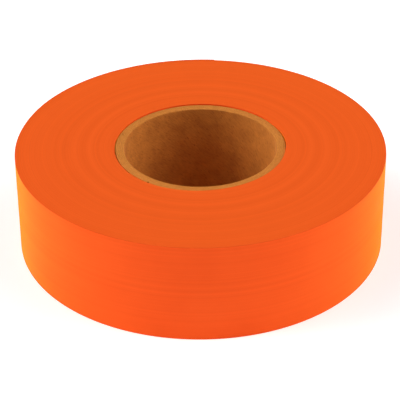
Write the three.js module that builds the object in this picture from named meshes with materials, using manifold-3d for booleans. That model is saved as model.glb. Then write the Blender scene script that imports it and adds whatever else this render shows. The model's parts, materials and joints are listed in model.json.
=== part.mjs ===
// A roll of non-adhesive vinyl surveyor's marking tape, wound on a spiral paper core and lying on
// one end. Millimetres. +Z runs up the roll's axis; the origin is on that axis, in the plane that
// the roll rests on. The free end of the tape lies on the +Y side, clockwise seen from above.
import * as THREE from "three";
import { mergeVertices } from "three/addons/utils/BufferGeometryUtils.js";
import Module from "manifold-3d";

const wasm = await Module();
wasm.setup();

// ---- Driving dimensions -------------------------------------------------------------------------
const INCH = 25.4;
const FOOT = 12 * INCH;

const TAPE_WIDTH = 1.1875 * INCH;
const TAPE_LENGTH = 300 * FOOT;
const FILM_THICKNESS = 0.076;
const ROLL_RADIUS = (4.25 * INCH) / 2;

const BORE_RADIUS = (1.75 * INCH) / 2;
const CORE_WALL = 2.6;
const CORE_SHORTFALL = 0.4; // the core is cut this much shorter than the tape is wide
const PLY_COUNT = 5;
const GLUE_LINE = 0.05; // space left for the glue between two plies
const SEAM_SLANT = THREE.MathUtils.degToRad(45); // from the axis: every ply is wound at this slant
const SEAM_GAP = 0.4; // butt joint between one turn of a ply and the next
const FIRST_SEAM_ANGLE = THREE.MathUtils.degToRad(-125);
const SEAM_STAGGER = (2 * Math.PI) / PLY_COUNT;

const WINDING_SLACK = 0.2; // between the core and the first turn, where the tack strip sits
const TACK_THICKNESS = 0.1;
const TACK_WIDTH = 9;
const TACK_INSET = 1; // the strip stops this far short of the tape's edges

const TAIL_HINGE_ANGLE = THREE.MathUtils.degToRad(160);
const TAIL_SEGMENT_COUNT = 6;
const TAIL_SEGMENT_SWEEP = THREE.MathUtils.degToRad(12.5);
const TAIL_HINGE_GAP = 0.3; // free film between one peel line and the segment before it
const TAIL_LIFT = 0.1; // clearance under the tail
const TAIL_EDGE_INSET = 0.1; // the loose tail lies this far inside the roll's end faces

const CIRCLE_DIVISIONS = 48; // an arc gets two flat sides for each division
const STRIP_DIVISIONS = 12;
const PACK_SIDES = 180;
const SEAM_STEPS = 24;
const CUT_OVERRUN = 1; // how far a cutter reaches past what it cuts

// ---- Worked out from them -----------------------------------------------------------------------
const CORE_LENGTH = TAPE_WIDTH - CORE_SHORTFALL;
const CORE_OUTER_RADIUS = BORE_RADIUS + CORE_WALL;
const WOUND_AREA = Math.PI * (ROLL_RADIUS ** 2 - CORE_OUTER_RADIUS ** 2);
const WINDING_PITCH = WOUND_AREA / TAPE_LENGTH; // the film and the air between two turns
const PLY_PITCH = CORE_WALL / PLY_COUNT;

// ---- Materials ----------------------------------------------------------------------------------
const vinyl = new THREE.MeshStandardMaterial({ color: 0xf05f24, roughness: 0.42, metalness: 0 });
const kraftPaper = new THREE.MeshStandardMaterial({ color: 0xa4672e, roughness: 0.9, metalness: 0 });
const chipboard = new THREE.MeshStandardMaterial({ color: 0xc08a4c, roughness: 0.95, metalness: 0 });
const tackFilm = new THREE.MeshStandardMaterial({ color: 0xe8e2cf, roughness: 0.5, metalness: 0 });

// ---- Helpers ------------------------------------------------------------------------------------
function solidOf(geometry) {
  const bare = geometry.clone();
  bare.deleteAttribute("normal");
  bare.deleteAttribute("uv");
  const merged = mergeVertices(bare);
  return new wasm.Manifold(
    new wasm.Mesh({
      numProp: 3,
      vertProperties: merged.attributes.position.array,
      triVerts: new Uint32Array(merged.index.array),
    }),
  );
}

function geometryOf(solid) {
  const mesh = solid.getMesh();
  const geometry = new THREE.BufferGeometry();
  geometry.setAttribute("position", new THREE.BufferAttribute(mesh.vertProperties, mesh.numProp));
  geometry.setIndex(new THREE.BufferAttribute(mesh.triVerts, 1));
  geometry.computeVertexNormals();
  return geometry;
}

function prism(shape, height, steps = 1, curveSegments = CIRCLE_DIVISIONS) {
  return new THREE.ExtrudeGeometry(shape, {
    depth: height,
    steps,
    bevelEnabled: false,
    curveSegments,
  });
}

function circle(path, radius) {
  path.absarc(0, 0, radius, 0, 2 * Math.PI, false);
  return path;
}

function named(name, geometry, material, baseHeight = 0) {
  const mesh = new THREE.Mesh(geometry, material);
  mesh.name = name;
  mesh.position.z = baseHeight;
  return mesh;
}

// A thin strip bent to an arc about the roll's axis, from startAngle on to endAngle.
function arcStrip(innerRadius, thickness, startAngle, endAngle, width) {
  const backwards = endAngle < startAngle;
  const outline = new THREE.Shape();
  outline.absarc(0, 0, innerRadius + thickness, startAngle, endAngle, backwards);
  outline.absarc(0, 0, innerRadius, endAngle, startAngle, !backwards);
  return prism(outline, width, 1, STRIP_DIVISIONS);
}

// ---- Core ---------------------------------------------------------------------------------------
// A ply is a strip of paper wound in a helix, edge to edge, so one slanting butt joint runs from the
// bottom of the core to its top. The cutter is that joint's slit, twisted about the core's axis.
function seamCutter(innerRadius, outerRadius, startAngle) {
  const turnPerMillimetre = Math.tan(SEAM_SLANT) / innerRadius;
  const section = new THREE.Shape();
  section.moveTo(innerRadius - CUT_OVERRUN, -SEAM_GAP / 2);
  section.lineTo(outerRadius + CUT_OVERRUN, -SEAM_GAP / 2);
  section.lineTo(outerRadius + CUT_OVERRUN, SEAM_GAP / 2);
  section.lineTo(innerRadius - CUT_OVERRUN, SEAM_GAP / 2);
  const cutter = prism(section, CORE_LENGTH + 2 * CUT_OVERRUN, SEAM_STEPS);
  const position = cutter.attributes.position;
  const point = new THREE.Vector3();
  const axis = new THREE.Vector3(0, 0, 1);
  for (let i = 0; i < position.count; i++) {
    point.fromBufferAttribute(position, i);
    point.applyAxisAngle(axis, startAngle + turnPerMillimetre * point.z);
    position.setXYZ(i, point.x, point.y, point.z - CUT_OVERRUN);
  }
  return cutter;
}

function corePly(index) {
  const innerRadius = BORE_RADIUS + index * PLY_PITCH;
  const outerRadius = innerRadius + PLY_PITCH - GLUE_LINE;
  const ring = circle(new THREE.Shape(), outerRadius);
  ring.holes.push(circle(new THREE.Path(), innerRadius));
  const wall = solidOf(prism(ring, CORE_LENGTH));
  const seam = solidOf(seamCutter(innerRadius, outerRadius, FIRST_SEAM_ANGLE + index * SEAM_STAGGER));
  return geometryOf(wall.subtract(seam));
}

function plyName(index) {
  if (index === 0) return "core_liner_ply";
  if (index === PLY_COUNT - 1) return "core_outer_ply";
  return `core_body_ply_${index}`;
}

function buildCore() {
  const core = new THREE.Group();
  for (let index = 0; index < PLY_COUNT; index++) {
    const material = index === 0 ? kraftPaper : chipboard;
    core.add(named(plyName(index), corePly(index), material));
  }
  return core;
}

// The double-sided strip that holds the first turn of tape on the core.
function buildTackStrip() {
  const innerRadius = CORE_OUTER_RADIUS + (WINDING_SLACK - TACK_THICKNESS) / 2;
  const sweep = TACK_WIDTH / innerRadius;
  const length = TAPE_WIDTH - 2 * TACK_INSET;
  const strip = arcStrip(innerRadius, TACK_THICKNESS, 0, sweep, length);
  return named("core_tack_strip", strip, tackFilm, TACK_INSET);
}

// ---- Tape ---------------------------------------------------------------------------------------
// The wound turns. Its outline is the outermost turn of the spiral, so it has a step of one pitch at
// the first peel line, and the tail carries the spiral on over that step.
function buildWoundPack() {
  const outline = new THREE.Shape();
  for (let side = 0; side <= PACK_SIDES; side++) {
    const turn = side / PACK_SIDES;
    const radius = ROLL_RADIUS - WINDING_PITCH * turn;
    const angle = TAIL_HINGE_ANGLE + 2 * Math.PI * turn;
    const x = radius * Math.cos(angle);
    const y = radius * Math.sin(angle);
    if (side === 0) outline.moveTo(x, y);
    else outline.lineTo(x, y);
  }
  outline.holes.push(circle(new THREE.Path(), CORE_OUTER_RADIUS + WINDING_SLACK));
  return named("tape_wound_pack", prism(outline, TAPE_WIDTH), vinyl);
}

// The last stretch of tape, in segments that peel one from the next.
function buildTail() {
  const tail = new THREE.Group();
  const innerRadius = ROLL_RADIUS - WINDING_PITCH + TAIL_LIFT;
  const gapAngle = TAIL_HINGE_GAP / ROLL_RADIUS;
  const width = TAPE_WIDTH - 2 * TAIL_EDGE_INSET;
  for (let index = 0; index < TAIL_SEGMENT_COUNT; index++) {
    const startAngle = TAIL_HINGE_ANGLE - gapAngle - index * TAIL_SEGMENT_SWEEP;
    const endAngle = startAngle + gapAngle - TAIL_SEGMENT_SWEEP;
    const strip = arcStrip(innerRadius, FILM_THICKNESS, startAngle, endAngle, width);
    tail.add(named(`tape_tail_${index + 1}`, strip, vinyl, TAIL_EDGE_INSET));
  }
  return tail;
}

// ---- Assembly -----------------------------------------------------------------------------------
const roll = new THREE.Group();
roll.add(buildCore());
roll.add(buildTackStrip());
roll.add(buildWoundPack());
roll.add(buildTail());

export default roll;
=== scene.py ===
"""A roll of fluorescent vinyl flagging tape on a spiral paper core, lying on one end.

Metres, with +Z up the roll's axis. Angles are about that axis, from +X towards +Y. The wound
turns, the core's plies and the tape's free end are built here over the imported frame's solids.
"""
import json
import math

import bmesh
import bpy
import numpy as np
from mathutils import Matrix, Vector


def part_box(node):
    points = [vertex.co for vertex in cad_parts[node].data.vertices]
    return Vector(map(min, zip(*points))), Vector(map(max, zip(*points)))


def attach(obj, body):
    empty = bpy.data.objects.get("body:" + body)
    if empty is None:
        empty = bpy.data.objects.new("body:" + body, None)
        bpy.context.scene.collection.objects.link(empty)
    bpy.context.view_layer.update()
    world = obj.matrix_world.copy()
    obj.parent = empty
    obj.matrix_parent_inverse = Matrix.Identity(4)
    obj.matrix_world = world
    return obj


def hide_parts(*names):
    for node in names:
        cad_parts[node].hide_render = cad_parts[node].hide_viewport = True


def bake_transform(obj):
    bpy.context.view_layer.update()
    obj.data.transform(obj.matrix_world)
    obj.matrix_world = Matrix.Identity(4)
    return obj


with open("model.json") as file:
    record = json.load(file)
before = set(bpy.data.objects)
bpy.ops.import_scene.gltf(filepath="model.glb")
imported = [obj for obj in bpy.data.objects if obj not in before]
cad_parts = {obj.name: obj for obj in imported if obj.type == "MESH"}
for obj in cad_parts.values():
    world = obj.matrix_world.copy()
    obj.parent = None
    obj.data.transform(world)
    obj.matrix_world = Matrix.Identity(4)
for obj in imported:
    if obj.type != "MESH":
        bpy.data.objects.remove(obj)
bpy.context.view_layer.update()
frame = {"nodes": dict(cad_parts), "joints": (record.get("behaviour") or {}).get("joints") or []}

# ---- Sizes ---------------------------------------------------------------------------------------
MM = 0.001
FULL_TURN = 2 * math.pi

FILM_THICKNESS = 0.076 * MM
WINDING_PITCH = 0.0789 * MM  # one turn of film and the air under it
TAIL_LIFT = 0.1 * MM  # the loose tail's clearance above the turn under it
FIRST_TURN_GAP = 0.04 * MM  # between the core and the first turn of film
GLUE_LINE = 0.05 * MM  # between two plies
SEAM_GAP = 0.4 * MM  # across a ply's butt joint
SEAM_SLANT = math.radians(45)
FIRST_SEAM_ANGLE = math.radians(-125)

PLY_NODES = [
    "core_liner_ply",
    "core_body_ply_1",
    "core_body_ply_2",
    "core_body_ply_3",
    "core_outer_ply",
]
TAIL_BODIES = [f"tail_{number}" for number in range(1, 7)]

TAPE_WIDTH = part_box("tape_wound_pack")[1].z
CORE_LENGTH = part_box("core_liner_ply")[1].z
PLY_OUTER_RADII = [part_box(node)[1].x for node in PLY_NODES]
PLY_PITCH = (PLY_OUTER_RADII[-1] - PLY_OUTER_RADII[0]) / (len(PLY_NODES) - 1)
BORE_RADIUS = PLY_OUTER_RADII[0] - PLY_PITCH + GLUE_LINE
FIRST_TURN_RADIUS = PLY_OUTER_RADII[-1] + FIRST_TURN_GAP

HINGES = {joint["child"]: Vector(joint["pos_m"]) for joint in frame["joints"]}
HINGE_ANGLES = [math.atan2(HINGES[body].y, HINGES[body].x) for body in TAIL_BODIES]
SEGMENT_SWEEP = HINGE_ANGLES[0] - HINGE_ANGLES[1]
ROLL_RADIUS = HINGES["tail_1"].xy.length - TAIL_LIFT + WINDING_PITCH
SEGMENT_LENGTH = SEGMENT_SWEEP * ROLL_RADIUS
TAIL_LENGTH = len(TAIL_BODIES) * SEGMENT_LENGTH

# A length before the first hinge; the tail's film starts a millimetre further back than this.
BEND_BEFORE = 3 * MM

# Distances along the tail start at its first hinge and grow towards its torn end. Its film joins
# the wound turns a little before the first hinge, where the outermost turn ends in a step.
TAIL_START = -BEND_BEFORE - 1 * MM
OUTER_TURN_END = HINGE_ANGLES[0] - TAIL_START / ROLL_RADIUS
STEP_RUN = 0.3 * MM  # the step comes down over this length

# Seeds for what is uneven. A face also uses some of the four after its own, and a ply adds its
# index to its own.
BAND_SEED = 11
FINE_BAND_SEED = 12
SLACK_SEED = 13
TOP_FACE_SEED = 21
BOTTOM_FACE_SEED = 31
FRAY_SEED = 41
GRAIN_SEED = 51
TEAR_SEED = 61


# ---- Mesh helpers --------------------------------------------------------------------------------
END_FACE_SLOPE = 0.7  # of a normal's height, from which a face looks along the roll's axis


def smooth_noise(seed, position, spacing, period=None):
    """Random heights from -1 to 1, spacing apart, joined smoothly; with a period it closes."""
    position = np.asarray(position, float)
    place = (position - position.min()) / spacing
    count = int(place.max()) + 3
    if period is not None:
        count = max(int(round(period / spacing)), 3)
        place = position / period * count
    heights = np.random.default_rng(seed).uniform(-1, 1, count)
    index = np.floor(place).astype(int)
    share = place - index
    share = share * share * (3 - 2 * share)
    low = heights[index % count]
    high = heights[(index + 1) % count]
    return low + (high - low) * share


def ramp(value, length):
    """0 up to value 0, 1 from value length on, and a smooth rise between."""
    share = np.clip(value / length, 0, 1)
    return share * share * (3 - 2 * share)


def around(radius, angle, height):
    """Points at those radii, angles and heights, which are arrays that broadcast together."""
    radius, angle, height = np.broadcast_arrays(radius, angle, height)
    return np.stack([radius * np.cos(angle), radius * np.sin(angle), height], axis=-1)


def loft(stations, loop, closed):
    """Quads over a grid of points, each station a closed loop, and its two ends capped."""
    faces = []
    last = stations if closed else stations - 1
    for i in range(last):
        here = i * loop
        there = ((i + 1) % stations) * loop
        for j in range(loop):
            k = (j + 1) % loop
            faces.append((here + j, there + j, there + k, here + k))
    if not closed:
        faces.append(tuple(range(loop)))
        faces.append(tuple((stations - 1) * loop + j for j in reversed(range(loop))))
    return faces


def make_piece(name, points, faces, materials, pick, sharp_degrees=40):
    """A mesh object from a grid of points. pick gives each face's material from its normal."""
    mesh = bpy.data.meshes.new(name)
    mesh.from_pydata(points.reshape(-1, 3).tolist(), [], faces)
    for material in materials:
        mesh.materials.append(material)
    edit = bmesh.new()
    edit.from_mesh(mesh)
    bmesh.ops.recalc_face_normals(edit, faces=edit.faces)
    for face in edit.faces:
        face.smooth = True
        face.material_index = pick(face)
    edit.to_mesh(mesh)
    edit.free()
    mesh.set_sharp_from_angle(angle=math.radians(sharp_degrees))
    piece = bpy.data.objects.new(name, mesh)
    bpy.context.scene.collection.objects.link(piece)
    return piece


def is_end_face(face):
    """1 for a face that looks along the roll's axis, and 0 for one that looks across it."""
    return int(abs(face.normal.z) > END_FACE_SLOPE)


# ---- Material helpers ----------------------------------------------------------------------------
NOISE_LOW = 0.3  # most of a noise lies between these two
NOISE_HIGH = 0.7


def fill(tree, socket, value):
    """Links an output to the socket, or sets the socket to a plain value."""
    if isinstance(value, bpy.types.NodeSocket):
        tree.links.new(value, socket)
    else:
        socket.default_value = value


def node(tree, kind, sockets, **settings):
    """Adds a shader node. sockets are its inputs' values, or the outputs that feed them."""
    made = tree.nodes.new("ShaderNode" + kind)
    for setting, value in settings.items():
        setattr(made, setting, value)
    for key, value in sockets.items():
        fill(tree, made.inputs[key], value)
    return made


def maths(tree, operation, first, second=0.0):
    return node(tree, "Math", {0: first, 1: second}, operation=operation).outputs[0]


def blended(tree, first, second, share):
    """share of the first value, and the rest of the second."""
    first = maths(tree, "MULTIPLY", first, share)
    second = maths(tree, "MULTIPLY", second, 1 - share)
    return maths(tree, "ADD", first, second)


def noise(tree, place, scale, detail=2.0, roughness=0.5):
    sockets = {"Vector": place, "Scale": scale, "Detail": detail, "Roughness": roughness}
    return node(tree, "TexNoise", sockets).outputs[0]


def noise_along(tree, distance, scale, detail=2.0, roughness=0.5):
    """Noise that changes with one distance only, so that it draws lines or rings."""
    sockets = {"W": distance, "Scale": scale, "Detail": detail, "Roughness": roughness}
    return node(tree, "TexNoise", sockets, noise_dimensions="1D").outputs[0]


def spread(tree, value, to_low=0.0, to_high=1.0, low=NOISE_LOW, high=NOISE_HIGH):
    """value from low to high, mapped to to_low to to_high and held there beyond them."""
    sockets = {"Value": value, 1: low, 2: high, 3: to_low, 4: to_high}
    return node(tree, "MapRange", sockets).outputs[0]


def mix(tree, share, first, second):
    """The first colour at share 0 and the second at share 1."""
    made = node(tree, "Mix", {0: share}, data_type="RGBA")
    fill(tree, made.inputs[6], first)
    fill(tree, made.inputs[7], second)
    return made.outputs[2]


def bump(tree, height, distance, strength=1.0, below=None):
    sockets = {"Height": height, "Distance": distance, "Strength": strength}
    if below is not None:
        sockets["Normal"] = below
    return node(tree, "Bump", sockets).outputs[0]


def rgb(red, green, blue):
    return (red, green, blue, 1.0)


class Place:
    """A material's coordinates: the point, its radius, its angle and its height."""

    def __init__(self, tree):
        self.point = node(tree, "TexCoord", {}).outputs["Object"]
        split = node(tree, "SeparateXYZ", {0: self.point})
        flat = node(tree, "CombineXYZ", {0: split.outputs[0], 1: split.outputs[1]})
        length = node(tree, "VectorMath", {0: flat.outputs[0]}, operation="LENGTH")
        self.radius = length.outputs["Value"]
        self.angle = maths(tree, "ARCTAN2", split.outputs[1], split.outputs[0])
        self.height = split.outputs[2]


def new_material(name):
    material = bpy.data.materials.new(name)
    material.use_nodes = True
    tree = material.node_tree
    return material, tree, tree.nodes["Principled BSDF"]


def feed(tree, shader, **sockets):
    """Links or sets the shader's inputs. An underscore stands for a space in a socket's name."""
    for key, value in sockets.items():
        fill(tree, shader.inputs[key.replace("_", " ")], value)


# ---- Materials -----------------------------------------------------------------------------------
FACE_DEEP = rgb(0.88, 0.078, 0.0140)
FACE_LIGHT = rgb(0.96, 0.099, 0.0180)
EDGE_DEEP = rgb(0.740, 0.076, 0.0110)
EDGE_LIGHT = rgb(0.855, 0.104, 0.0160)
GLOSS_TINT = rgb(1.0, 0.45, 0.12)
SHEEN_TINT = rgb(1.0, 0.66, 0.0)
KRAFT_DARK = rgb(0.405, 0.125, 0.0175)
KRAFT_LIGHT = rgb(0.640, 0.220, 0.0345)
KRAFT_FLECK = rgb(0.26, 0.066, 0.009)
BOARD_DARK = rgb(0.43, 0.132, 0.020)
BOARD_LIGHT = rgb(0.72, 0.268, 0.048)
BOARD_FLECK = rgb(0.28, 0.080, 0.010)
TACK_DARK = rgb(0.66, 0.61, 0.48)
TACK_LIGHT = rgb(0.80, 0.76, 0.63)


# Marks in a metre, for each kind of mark. Where a mark is longer one way, both ways have a number.
FILM_STREAKS = 900
FILM_CLOUDS = 60
FILM_GRAIN = 2600
RING_WANDER_SCALE = 30
BROAD_RINGS = 420
FINE_RINGS = 3200
EDGE_GRAIN = 4000
PAPER_FIBRES = (500, 3000)
PAPER_FLECKS = (900, 2200)
PAPER_MOTTLE = 260
BOARD_FIBRES = (600, 6000)
BOARD_PITS = 3500

RING_WANDER = 0.15 * MM  # how far a ring strays from a true circle
FLECK_STRENGTH = 0.6


def film_face_material():
    """The flat of the film: satin vinyl, with faint lengthwise streaks from the calender."""
    material, tree, shader = new_material("film_face")
    place = Place(tree)
    streaks = noise_along(tree, place.height, FILM_STREAKS, detail=4, roughness=0.6)
    clouds = noise(tree, place.point, FILM_CLOUDS, detail=3)
    grain = noise(tree, place.point, FILM_GRAIN)
    tone = blended(tree, streaks, clouds, 0.5)
    ripple = bump(tree, streaks, 0.02 * MM, strength=0.5)
    feed(
        tree,
        shader,
        Base_Color=mix(tree, spread(tree, tone), FACE_DEEP, FACE_LIGHT),
        Roughness=spread(tree, clouds, 0.42, 0.52),
        Specular_IOR_Level=0.02,
        Specular_Tint=GLOSS_TINT,
        Sheen_Weight=0.9,
        Sheen_Roughness=0.4,
        Sheen_Tint=SHEEN_TINT,
        Normal=bump(tree, grain, 0.008 * MM, strength=0.6, below=ripple),
    )
    return material


def film_edge_material():
    """The film's slit edges, turn on turn: rings of every width, slightly matt."""
    material, tree, shader = new_material("film_edge")
    place = Place(tree)
    stray = noise(tree, place.point, RING_WANDER_SCALE, detail=1)
    radius = maths(tree, "ADD", place.radius, maths(tree, "MULTIPLY", stray, RING_WANDER))
    broad = noise_along(tree, radius, BROAD_RINGS, detail=3, roughness=0.6)
    fine = noise_along(tree, radius, FINE_RINGS, detail=3, roughness=0.7)
    grain = noise(tree, place.point, EDGE_GRAIN)
    tone = blended(tree, broad, fine, 0.45)
    rings = bump(tree, fine, 0.03 * MM, strength=0.5)
    feed(
        tree,
        shader,
        Base_Color=mix(tree, spread(tree, tone, low=0.25, high=0.75), EDGE_DEEP, EDGE_LIGHT),
        Roughness=spread(tree, fine, 0.5, 0.62),
        Specular_IOR_Level=0.05,
        Specular_Tint=GLOSS_TINT,
        Sheen_Weight=0.12,
        Sheen_Roughness=0.5,
        Sheen_Tint=SHEEN_TINT,
        Normal=bump(tree, grain, 0.01 * MM, strength=0.5, below=rings),
    )
    return material


def winding_place(tree, place, marks):
    """A point that follows the plies' slant, scaled by the marks in a metre along and across it."""
    along, across = marks
    arc = maths(tree, "MULTIPLY", place.angle, BORE_RADIUS)
    arc_share = maths(tree, "MULTIPLY", arc, math.sin(SEAM_SLANT))
    height_share = maths(tree, "MULTIPLY", place.height, math.cos(SEAM_SLANT))
    on_fibre = maths(tree, "MULTIPLY", maths(tree, "ADD", arc_share, height_share), along)
    off_fibre = maths(tree, "MULTIPLY", maths(tree, "SUBTRACT", arc_share, height_share), across)
    return node(tree, "CombineXYZ", {0: on_fibre, 1: off_fibre, 2: place.radius}).outputs[0]


def paper_material(name, dark, light, fleck):
    """Paper with fibres that run the way its ply is wound, flecks and a soft mottle."""
    material, tree, shader = new_material(name)
    place = Place(tree)
    fibres = noise(tree, winding_place(tree, place, PAPER_FIBRES), 1, detail=4, roughness=0.65)
    flecks = noise(tree, winding_place(tree, place, PAPER_FLECKS), 1, detail=1)
    mottle = noise(tree, place.point, PAPER_MOTTLE, detail=3)
    tone = blended(tree, fibres, mottle, 0.6)
    colour = mix(tree, spread(tree, tone, low=0.34, high=0.66), dark, light)
    flecked = spread(tree, flecks, to_high=FLECK_STRENGTH, low=0.62, high=0.74)
    feed(
        tree,
        shader,
        Base_Color=mix(tree, flecked, colour, fleck),
        Roughness=spread(tree, fibres, 0.72, 0.9),
        Specular_IOR_Level=0.15,
        Normal=bump(tree, fibres, 0.03 * MM, strength=0.6),
    )
    return material


def cut_board_material():
    """The core's sawn end: fibres drawn out along the cut, and pits between them."""
    material, tree, shader = new_material("cut_board")
    place = Place(tree)
    along, across = BOARD_FIBRES
    arc = maths(tree, "MULTIPLY", place.angle, along * BORE_RADIUS)
    depth = maths(tree, "MULTIPLY", place.radius, across)
    drawn = node(tree, "CombineXYZ", {0: arc, 1: depth}).outputs[0]
    fibres = noise(tree, drawn, 1, detail=4, roughness=0.65)
    pits = noise(tree, place.point, BOARD_PITS)
    tone = blended(tree, fibres, pits, 0.6)
    rough = bump(tree, fibres, 0.05 * MM, strength=0.7)
    feed(
        tree,
        shader,
        Base_Color=mix(tree, spread(tree, tone, low=0.36, high=0.64), BOARD_DARK, BOARD_LIGHT),
        Roughness=spread(tree, pits, 0.82, 0.95),
        Specular_IOR_Level=0.1,
        Normal=bump(tree, pits, 0.03 * MM, strength=0.7, below=rough),
    )
    return material


film_face = film_face_material()
film_edge = film_edge_material()
kraft = paper_material("kraft_liner", KRAFT_DARK, KRAFT_LIGHT, KRAFT_FLECK)
board = paper_material("chipboard", BOARD_DARK, BOARD_LIGHT, BOARD_FLECK)
cut_board = cut_board_material()
tack = paper_material("tack_strip", TACK_DARK, TACK_LIGHT, TACK_DARK)


# ---- Wound turns ---------------------------------------------------------------------------------
PACK_STATIONS = 360
FACE_ROWS = 96
SIDE_ROWS = 40
RIM_ROWS = 4
RIM_RADIUS = 0.12 * MM
LOOSE_TURN_GAP = 0.25 * MM  # how far the innermost turns stand off the core, at most
LOOSE_TURN_SAG = 0.3 * MM  # and how far they lie below the rest
LOOSE_TURN_ANGLE = math.radians(210)
LOOSE_TURN_DEPTH = 1.2 * MM  # the turns that give way for them
STRIP_LUMP = 0.18 * MM  # the innermost turns' rise over the tack strip

BAND_HEIGHT = 0.022 * MM  # bands that run round the side, where the film is a little thicker
BAND_SPACING = 2.6 * MM
FINE_BAND_HEIGHT = 0.008 * MM
FINE_BAND_SPACING = 0.9 * MM
SLACK_HEIGHT = 0.012 * MM  # slack patches stand off the side, and deepen the bands
SLACK_SPACING = FULL_TURN / 14
SLACK_ON_BANDS = 0.4

FACE_INSET = 0.068 * MM  # how far the rings on a face lie inside the end plane, on average
FACE_RINGS = [(0.040 * MM, 6.5 * MM), (0.018 * MM, 1.7 * MM), (0.010 * MM, 0.6 * MM)]  # height, width
FACE_TILT = 0.25  # round the roll, a ring's depth varies by this share either way
TILT_SPACING = 4 * MM  # from one ring's deepest side to another's


def outer_swell(angle, height):
    """How far the outermost turn stands off a true cylinder: bands of gauge, and slack film."""
    bands = BAND_HEIGHT * smooth_noise(BAND_SEED, height, BAND_SPACING)
    bands = bands + FINE_BAND_HEIGHT * smooth_noise(FINE_BAND_SEED, height, FINE_BAND_SPACING)
    slack = smooth_noise(SLACK_SEED, angle % FULL_TURN, SLACK_SPACING, period=FULL_TURN)
    crown = np.sin(np.pi * np.clip(height / TAPE_WIDTH, 0, 1))
    return bands * (1 + SLACK_ON_BANDS * slack) + SLACK_HEIGHT * slack * crown


def near_core(radius):
    """1 at the innermost turn, and 0 from a few turns out."""
    return np.clip(1 - (radius - FIRST_TURN_RADIUS) / LOOSE_TURN_DEPTH, 0, 1)


def looseness(radius, angle):
    """1 at the innermost turn on the side where it is slack, and 0 a few turns out from it."""
    side = np.clip(np.cos(angle - LOOSE_TURN_ANGLE), 0, 1) ** 2
    return side * near_core(radius)


def strip_lump(radius, angle):
    """1 where the innermost turn passes over the tack strip, which starts at angle 0."""
    low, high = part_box("core_tack_strip")
    half_sweep = math.atan2(high.y, low.x) / 2
    off_middle = np.arccos(np.cos(angle - half_sweep))
    return near_core(radius) * (1 - ramp(off_middle - half_sweep, half_sweep / 2))


def face_relief(seed, radius, angle):
    """How far each ring of film edges lies inside the roll's end plane."""
    turn_shift = smooth_noise(seed + 4, radius, TILT_SPACING) * math.pi
    tilt = 1 - FACE_TILT + FACE_TILT * np.cos(angle - turn_shift)
    relief = 0
    for number, (ring_height, ring_width) in enumerate(FACE_RINGS):
        relief = relief + ring_height * smooth_noise(seed + number, radius, ring_width)
    return (relief + FACE_INSET) * tilt


def wound_turns():
    """The wound turns as one closed ring, with a step where the outermost turn ends."""
    turn = np.linspace(0, 1, PACK_STATIONS)[:, None]
    angle = OUTER_TURN_END + turn * FULL_TURN
    angle[-1] = OUTER_TURN_END + FULL_TURN - STEP_RUN / ROLL_RADIUS
    outer = ROLL_RADIUS - WINDING_PITCH * turn

    share = np.linspace(0, 1, FACE_ROWS)[None, :]
    face_radius = FIRST_TURN_RADIUS + (outer - RIM_RADIUS - FIRST_TURN_RADIUS) * share
    loose = looseness(face_radius, angle)
    lump = strip_lump(face_radius, angle)
    top = TAPE_WIDTH - face_relief(TOP_FACE_SEED, face_radius, angle) - LOOSE_TURN_SAG * loose
    bottom = face_relief(BOTTOM_FACE_SEED, face_radius, angle)
    face_radius = face_radius + LOOSE_TURN_GAP * loose + STRIP_LUMP * lump

    bend = np.linspace(0, math.pi / 2, RIM_ROWS + 2)[None, 1:-1]
    rim_radius = outer - RIM_RADIUS + RIM_RADIUS * np.sin(bend)
    top_rim = top[:, -1:] - RIM_RADIUS * (1 - np.cos(bend))
    bottom_rim = bottom[:, -1:] + RIM_RADIUS * (1 - np.cos(bend))

    drop = np.linspace(0, 1, SIDE_ROWS)[None, :]
    side_height = (top[:, -1:] - RIM_RADIUS) * (1 - drop) + (bottom[:, -1:] + RIM_RADIUS) * drop
    side_radius = outer + outer_swell(angle, side_height)

    loops = [
        around(face_radius, angle, top),
        around(rim_radius, angle, top_rim),
        around(side_radius, angle, side_height),
        around(rim_radius[:, ::-1], angle, bottom_rim[:, ::-1]),
        around(face_radius[:, ::-1], angle, bottom[:, ::-1]),
    ]
    points = np.concatenate(loops, axis=1)
    faces = loft(points.shape[0], points.shape[1], closed=True)
    piece = make_piece("wound_tape", points, faces, [film_face, film_edge], is_end_face)
    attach(piece, "roll")
    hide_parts("tape_wound_pack")
    return piece


# ---- Tail ----------------------------------------------------------------------------------------
TAIL_STEP = 0.6 * MM
TAIL_ROWS = 26
TAIL_INSET = 0.06 * MM
LIFT_LENGTH = 8 * MM  # over which the tail comes free of the turn under it
FREE_LIFT = 0.05 * MM  # how much higher the torn end lies, with its edges a little above its middle
FREE_EDGE_LIFT = 0.35
FREE_LENGTH = 14 * MM
TEAR_DEPTH = 0.5 * MM  # how uneven the tape's torn end is
TEAR_SPACING = 1.5 * MM
STEP_THINNING = 0.9  # of the film's thickness, where the tail's film starts over the step


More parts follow.
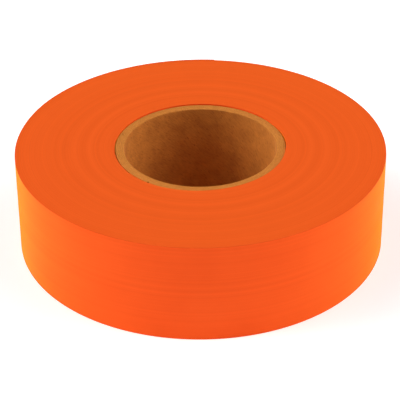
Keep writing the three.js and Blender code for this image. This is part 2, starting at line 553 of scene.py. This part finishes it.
def tail_points(first, last):
    """The tail's film from one distance along the tail to another."""
    count = max(int(round((last - first) / TAIL_STEP)), 2) + 1
    across = np.linspace(0, 1, TAIL_ROWS)[None, :]
    height = TAIL_INSET + (TAPE_WIDTH - 2 * TAIL_INSET) * across
    tear = 0
    if last == TAIL_LENGTH:
        tear = TEAR_DEPTH * (0.5 + 0.5 * smooth_noise(TEAR_SEED, height, TEAR_SPACING))
    along = first + (last - tear - first) * np.linspace(0, 1, count)[:, None] + 0 * height
    angle = HINGE_ANGLES[0] - along / ROLL_RADIUS
    wave = 1 + FREE_EDGE_LIFT * np.cos(FULL_TURN * across)
    lift = TAIL_LIFT * ramp(along, LIFT_LENGTH)
    lift = lift + FREE_LIFT * wave * ramp(along - TAIL_LENGTH + FREE_LENGTH, FREE_LENGTH)
    outer = ROLL_RADIUS + outer_swell(angle, height) + lift
    under_step = STEP_THINNING * ramp(STEP_RUN + TAIL_START - along, STEP_RUN)
    inner = outer - FILM_THICKNESS * (1 - under_step)
    loop = [around(inner, angle, height), around(outer[:, ::-1], angle[:, ::-1], height[:, ::-1])]
    return np.concatenate(loop, axis=1)


def tail_film(index):
    """One length of the tail round its own hinge, from mid segment to mid segment."""
    first = (index - 0.5) * SEGMENT_LENGTH if index else TAIL_START
    last = (index + 0.5) * SEGMENT_LENGTH if index < len(TAIL_BODIES) - 1 else TAIL_LENGTH
    points = tail_points(first, last)
    faces = loft(points.shape[0], points.shape[1], closed=False)
    body = TAIL_BODIES[index]
    name = body.replace("tail", "tail_film")
    piece = make_piece(name, points, faces, [film_face, film_edge], is_end_face)
    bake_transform(piece)
    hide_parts("tape_" + body)
    return piece


# ---- Core ----------------------------------------------------------------------------------------
PLY_STATIONS = 300
PLY_WALL_ROWS = 14
PLY_END_ROWS = 5
PLY_CORNER_ROWS = 3
PLY_EDGE_RADIUS = 0.06 * MM
BORE_LIP_RADIUS = 0.3 * MM  # the liner's ends are worn round
FRAY_DEPTH = 0.02 * MM  # how far a ply's sawn ends lie inside the core's length, on average
FRAY_SHARE = 0.6  # and how much of that is uneven, round the ply and across it
FRAY_SPACING = FULL_TURN / 260
GRAIN_SHARE = 0.6
GRAIN_SPACING = 0.2 * MM


def ply_section(inner, outer, lip):
    """A ply's section as a loop of (radius, height). lip rounds the corners on the bore's side."""
    edge = PLY_EDGE_RADIUS
    wall = np.linspace(0, 1, PLY_WALL_ROWS)
    end = np.linspace(0, 1, PLY_END_ROWS)
    bend = np.linspace(0, math.pi / 2, PLY_CORNER_ROWS + 2)[1:-1]
    rise, fall = np.sin(bend), np.cos(bend)
    near, far = inner + lip, outer - edge
    across = near + (far - near) * end
    parts = [
        (inner + 0 * wall, lip + (CORE_LENGTH - 2 * lip) * wall),
        (near - lip * fall, CORE_LENGTH - lip + lip * rise),
        (across, CORE_LENGTH + 0 * end),
        (far + edge * rise, CORE_LENGTH - edge + edge * fall),
        (outer + 0 * wall, CORE_LENGTH - edge - (CORE_LENGTH - 2 * edge) * wall),
        (far + edge * fall, edge - edge * rise),
        (across[::-1], 0 * end),
        (near - lip * rise, lip - lip * fall),
    ]
    return np.concatenate([part[0] for part in parts]), np.concatenate([part[1] for part in parts])


def core_ply(index):
    """A strip of paper wound into a ring, its two edges meeting at a slanting butt joint."""
    outer = PLY_OUTER_RADII[index]
    inner = outer - PLY_PITCH + GLUE_LINE
    radius, height = ply_section(inner, outer, PLY_EDGE_RADIUS if index else BORE_LIP_RADIUS)
    share = np.linspace(0, 1, PLY_STATIONS)[:, None]
    seam = FIRST_SEAM_ANGLE + index * FULL_TURN / len(PLY_NODES)
    seam = seam + height[None, :] * math.tan(SEAM_SLANT) / inner
    gap = SEAM_GAP / inner
    angle = seam + gap / 2 + share * (FULL_TURN - gap)

    fray = smooth_noise(FRAY_SEED + index, angle % FULL_TURN, FRAY_SPACING, period=FULL_TURN)
    grain = smooth_noise(GRAIN_SEED + index, radius[None, :] + 0 * angle, GRAIN_SPACING)
    inward = FRAY_DEPTH * (1 + FRAY_SHARE * (fray + GRAIN_SHARE * grain))
    towards_middle = 1 - 2 * height[None, :] / CORE_LENGTH
    height = height[None, :] + inward * towards_middle

    points = around(radius[None, :], angle, height)
    faces = loft(points.shape[0], points.shape[1], closed=False)
    wall = kraft if index == 0 else board
    name = PLY_NODES[index].removeprefix("core_")
    piece = make_piece(name, points, faces, [wall, cut_board], is_end_face)
    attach(piece, "roll")
    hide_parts(PLY_NODES[index])
    return piece


def tack_strip():
    """The strip that holds the first turn lies under the film, keeps its CAD solid and takes the tack
    paper.
    """
    strip = frame["nodes"]["core_tack_strip"]
    strip.data.materials.clear()
    strip.data.materials.append(tack)
    return strip


# ---- Stage ---------------------------------------------------------------------------------------
CAMERA_DISTANCE = 9.2 * ROLL_RADIUS
CAMERA_ELEVATION = math.radians(31.82)
CAMERA_LENS = 150.9  # millimetres, as the sensor's width is
CAMERA_SENSOR = 36
CAMERA_CLIP_START = 10 * MM
CAMERA_ROLL = math.radians(0.48)
ROLL_ABOVE_CENTRE = math.radians(0.374)  # the roll stands a little above the middle of the view
ROLL_RIGHT_OF_CENTRE = math.radians(0.031)

ROOM_LIGHT = 0.01
FLOOR_SIZE = 6
FLOOR_WHITE = rgb(0.93, 0.93, 0.93)
FLOOR_GLOW = 0.36  # the floor is a light table, except under the roll
GLOW_START_RADIUS = 0.9 * ROLL_RADIUS
PANEL_EDGE = math.radians(24)  # a panel of light fades out this far from its middle
PANEL_CORE = math.radians(10)
LIGHT_PANELS = [  # azimuth and elevation in degrees from the front of the roll, and brightness
    (0, 8, 1.05),
    (135, 8, 2.0),
    (-135, 8, 3.0),
    (60, 30, 1.1),
    (-60, 30, 0.9),
    (95, 30, 4.9),
    (-95, 30, 6.3),
    (90, 55, 1.8),
    (-90, 55, 2.1),
]


def studio_camera():
    """A long lens that looks down at the roll's middle."""
    data = bpy.data.cameras.new("camera")
    data.lens = CAMERA_LENS
    data.sensor_width = CAMERA_SENSOR
    data.clip_start = CAMERA_CLIP_START
    camera = bpy.data.objects.new("camera", data)
    bpy.context.scene.collection.objects.link(camera)
    back = Vector((0, -math.cos(CAMERA_ELEVATION), math.sin(CAMERA_ELEVATION)))
    place = Matrix.Translation(Vector((0, 0, TAPE_WIDTH / 2)) + CAMERA_DISTANCE * back)
    pitch = Matrix.Rotation(math.pi / 2 - CAMERA_ELEVATION, 4, "X")
    lower = Matrix.Rotation(-ROLL_ABOVE_CENTRE, 4, "X")
    turn = Matrix.Rotation(ROLL_RIGHT_OF_CENTRE, 4, "Y")
    tip = Matrix.Rotation(-CAMERA_ROLL, 4, "Z")
    camera.matrix_world = place @ pitch @ lower @ turn @ tip
    bpy.context.scene.camera = camera


def studio_floor():
    bpy.ops.mesh.primitive_plane_add(size=FLOOR_SIZE, location=(0, 0, 0))
    floor = bpy.context.object
    floor.name = "floor"
    material, tree, shader = new_material("floor")
    radius = Place(tree).radius
    glow = spread(tree, radius, to_high=FLOOR_GLOW, low=GLOW_START_RADIUS, high=ROLL_RADIUS)
    feed(tree, shader, Base_Color=FLOOR_WHITE, Roughness=0.9, Specular_IOR_Level=0.1)
    feed(tree, shader, Emission_Color=rgb(1, 1, 1), Emission_Strength=glow)
    floor.data.materials.append(material)


def light_panel(tree, azimuth, elevation, brightness):
    """A soft round patch of light in the room, seen from the roll at those angles in degrees."""
    turn, rise = math.radians(azimuth), math.radians(elevation)
    towards = (math.sin(turn) * math.cos(rise), -math.cos(turn) * math.cos(rise), math.sin(rise))
    looking = node(tree, "TexCoord", {}).outputs["Generated"]
    facing = node(tree, "VectorMath", {0: looking, 1: towards}, operation="DOT_PRODUCT")
    sockets = {"Value": facing.outputs["Value"], 1: math.cos(PANEL_EDGE), 2: math.cos(PANEL_CORE)}
    patch = node(tree, "MapRange", sockets, interpolation_type="SMOOTHSTEP")
    return maths(tree, "MULTIPLY", patch.outputs[0], brightness)


def studio_world():
    """A dim white room with panels of light, which the camera sees as plain white."""
    world = bpy.data.worlds.new("studio")
    world.use_nodes = True
    tree = world.node_tree
    background = tree.nodes["Background"]
    light = ROOM_LIGHT
    for panel in LIGHT_PANELS:
        light = maths(tree, "ADD", light_panel(tree, *panel), light)
    seen = node(tree, "LightPath", {}).outputs["Is Camera Ray"]
    unseen = maths(tree, "MULTIPLY", light, maths(tree, "SUBTRACT", 1.0, seen))
    fill(tree, background.inputs["Color"], rgb(1, 1, 1))
    fill(tree, background.inputs["Strength"], maths(tree, "ADD", unseen, seen))
    bpy.context.scene.world = world


def studio():
    studio_floor()
    studio_world()
    studio_camera()
    bpy.context.scene.view_settings.view_transform = "Standard"


# ---- Assembly ------------------------------------------------------------------------------------
studio()
wound_turns()
for ply_index in range(len(PLY_NODES)):
    core_ply(ply_index)
for tail_index in range(len(TAIL_BODIES)):
    tail_film(tail_index)
tack_strip()
